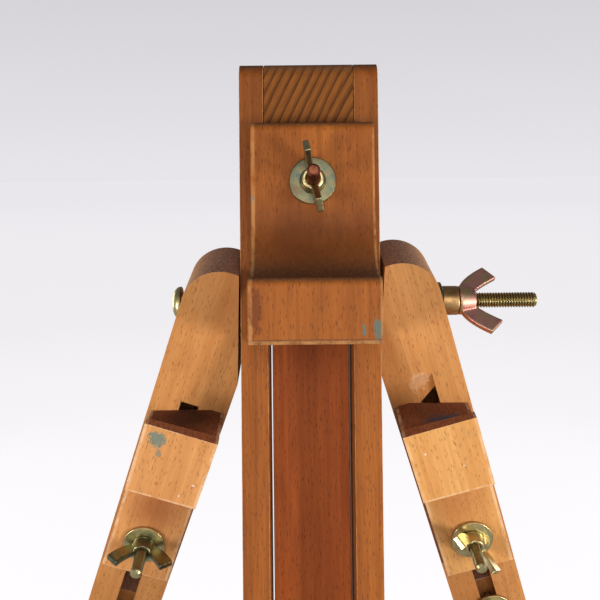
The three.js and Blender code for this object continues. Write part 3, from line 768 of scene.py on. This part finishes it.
def make_lock_screw(material):
    """A wing screw: cast wings on a round stem that presses on the centre bar."""
    node = "bar_lock_screw"
    matrix = axis_frame("bar_lock_turn")
    rows = measured(node, matrix)
    low = min(r[0] for r in rows)
    base = min(r[0] for r in rows if r[1] > SCREW_STEM + 2 * MM)
    top, span, turn, hub = wing_sizes(rows, base)
    height = WING_ROOT * top
    work = bmesh.new()
    crown = base + height
    section = [(0, low), (SCREW_STEM, low), (SCREW_STEM, base), (hub, base), (hub * 0.8, crown), (0, crown)]
    turned(work, section)
    add_wings(work, blade_outline(hub, height, span, top), SCREW_WING, base)
    mesh = melted(smooth_mesh(f"{node}_cast", work))
    add_piece(f"{node}_metal", mesh, matrix @ Matrix.Rotation(turn, 4, "Z"), node, material)


def melted(mesh, voxel=0.36 * MM, rounds=5):
    """One smooth skin over overlapping closed parts."""
    holder = bpy.data.objects.new("holder", mesh)
    bpy.context.scene.collection.objects.link(holder)
    remesh = holder.modifiers.new("remesh", "REMESH")
    remesh.mode = "VOXEL"
    remesh.voxel_size = voxel
    remesh.use_smooth_shade = True
    smooth = holder.modifiers.new("smooth", "SMOOTH")
    smooth.factor = 0.5
    smooth.iterations = rounds
    graph = bpy.context.evaluated_depsgraph_get()
    result = bpy.data.meshes.new_from_object(holder.evaluated_get(graph))
    result.name = mesh.name
    bpy.data.objects.remove(holder)
    return result


def make_fasteners():
    """Every metal piece. A seat gives the washer's, the wing nut's and the bolt's plating."""
    gold = plated_steel("zinc_gold", srgb(206, 190, 140), srgb(172, 170, 128), srgb(190, 146, 104))
    green = plated_steel("zinc_green", srgb(140, 140, 104), srgb(92, 106, 92), srgb(136, 104, 72), 0.22)
    dull = plated_steel("zinc_dull", srgb(112, 108, 80), srgb(74, 88, 80), srgb(118, 86, 58), 0.26)
    rose = plated_steel("zinc_rose", srgb(214, 158, 142), srgb(196, 172, 124), srgb(196, 126, 136), 0.36)
    brass = plated_steel("zinc_brass", srgb(196, 156, 104), srgb(168, 128, 84), srgb(150, 112, 68), 0.30)
    olive = plated_steel("zinc_olive", srgb(214, 198, 140), srgb(190, 180, 128), srgb(190, 160, 108), 0.26)
    rusty = plated_steel("zinc_rusty", srgb(150, 92, 62), srgb(110, 60, 46), RUST, 0.34)
    seats = {"top_clamp": (dull, gold, rusty)}
    for side in ("left", "right"):
        seats[f"{side}_ledge"] = (gold, green if side == "left" else gold, gold)
        seats[f"{side}_extension"] = (gold, gold, gold)
    for prefix, (plate, cast, stud) in seats.items():
        joint = f"{prefix}_nut_turn"
        make_bolt(f"{prefix}_bolt", joint, stud)
        make_ring(f"{prefix}_washer", joint, plate, WASHER_EDGE)
        make_wing_nut(f"{prefix}_wing_nut", joint, cast, M6_BORE, M6_WING)
    make_bolt("pivot_bolt", "pivot_nut_turn", olive, *PIVOT_THREAD)
    make_ring("pivot_outer_washer", "pivot_nut_turn", green, WASHER_EDGE)
    make_ring("pivot_sleeve", "pivot_nut_turn", brass, SLEEVE_EDGE)
    for side in ("left", "right"):
        make_ring(f"pivot_inner_washer_{side}", "pivot_nut_turn", gold, THIN_EDGE)
    make_wing_nut("pivot_wing_nut", "pivot_nut_turn", rose, M8_BORE, M8_WING)
    make_ring("bar_lock_bush", "bar_lock_turn", gold, WASHER_EDGE)
    make_lock_screw(gold)
    make_straps(gold)


def make_straps(material):
    for side in ("left", "right"):
        matrix = LEG[side]
        node = f"{side}_guide_strap"
        add_piece(f"{node}_metal", softened(node, matrix, FINE_EDGE), matrix, node, material)
        for letter in ("a", "b"):
            screw = f"{side}_strap_screw_{letter}"
            add_piece(f"{screw}_metal", softened(screw, matrix, SCREW_EDGE, 2), matrix, screw, material)


def make_feet():
    black = rubber("rubber_black")
    for node in ("centre_leg_tip", "left_foot_tip", "right_foot_tip"):
        matrix = member_of(node)
        add_piece(f"{node}_rubber", softened(node, matrix, RUBBER_EDGE, 4), matrix, node, black)


# ---- Backdrop ----------------------------------------------------------------------------------

FLOOR_RADIUS = 80.0
FLOOR_GAP = 0.2 * MM  # keeps the feet's faces clear of the floor's
FLOOR_GREY = (0.10, 0.10, 0.10, 1)
LOW_SKY, HIGH_SKY = (0.38, 0.38, 0.39, 1), (0.14, 0.14, 0.15, 1)
NEAR, FAR, HORIZON, TOP = srgb(251, 249, 252), srgb(237, 235, 238), srgb(231, 229, 233), srgb(214, 212, 216)
BOUNCE = (0.30, 0.30, 0.30, 1)  # what the object receives from the floor's glow


def seen_and_cast(g, seen, cast, kind):
    """A glow that has one colour to the camera and another to the object."""
    shown = g.add(kind, {"Color": seen, "Strength": 1.0})
    thrown = g.add(kind, {"Color": cast, "Strength": 1.0})
    path = g.add("ShaderNodeLightPath")
    inputs = {0: path.outputs["Is Camera Ray"], 1: thrown.outputs[0], 2: shown.outputs[0]}
    return g.add("ShaderNodeMixShader", inputs).outputs[0]


def add_floor():
    """A wide pale floor that glows like the background, brightest near by, and takes soft shadows."""
    work = bmesh.new()
    bmesh.ops.create_circle(work, cap_ends=True, radius=FLOOR_RADIUS, segments=96)
    mesh = bpy.data.meshes.new("floor")
    work.to_mesh(mesh)
    work.free()
    floor = bpy.data.objects.new("floor", mesh)
    floor.location.z = -FLOOR_GAP
    bpy.context.scene.collection.objects.link(floor)
    material, g = new_material("floor_white")
    diffuse = g.add("ShaderNodeBsdfDiffuse", {"Color": FLOOR_GREY})
    distance = g.vector("LENGTH", g.add("ShaderNodeTexCoord").outputs["Object"])
    seen = g.mix(g.ramp(distance, 0.5, 3.5), NEAR, FAR)
    seen = g.mix(g.ramp(distance, 3.5, 20.0), seen, HORIZON)
    glow = seen_and_cast(g, seen, BOUNCE, "ShaderNodeEmission")
    both = g.add("ShaderNodeAddShader", {0: diffuse.outputs[0], 1: glow})
    output = g.add("ShaderNodeOutputMaterial")
    g.tree.links.new(both.outputs[0], output.inputs[0])
    mesh.materials.append(material)


def add_world():
    """A pale background for the camera, and a dim sky, darker overhead, that lights the object."""
    world = bpy.data.worlds.new("studio")
    world.use_nodes = True
    bpy.context.scene.world = world
    g = Graph(world.node_tree)
    direction = g.add("ShaderNodeTexCoord").outputs["Generated"]
    up = g.add("ShaderNodeSeparateXYZ", {"Vector": direction}).outputs[2]
    sky = g.mix(g.ramp(up, 0.0, 0.7), LOW_SKY, HIGH_SKY)
    seen = g.mix(g.ramp(up, 0.0, 0.2), HORIZON, TOP)
    background = seen_and_cast(g, seen, sky, "ShaderNodeBackground")
    output = g.add("ShaderNodeOutputWorld")
    g.tree.links.new(background, output.inputs[0])


add_camera()
add_lights()
add_world()
add_floor()
make_wood()
make_fasteners()
make_feet()
bpy.context.scene.view_settings.view_transform = "Standard"
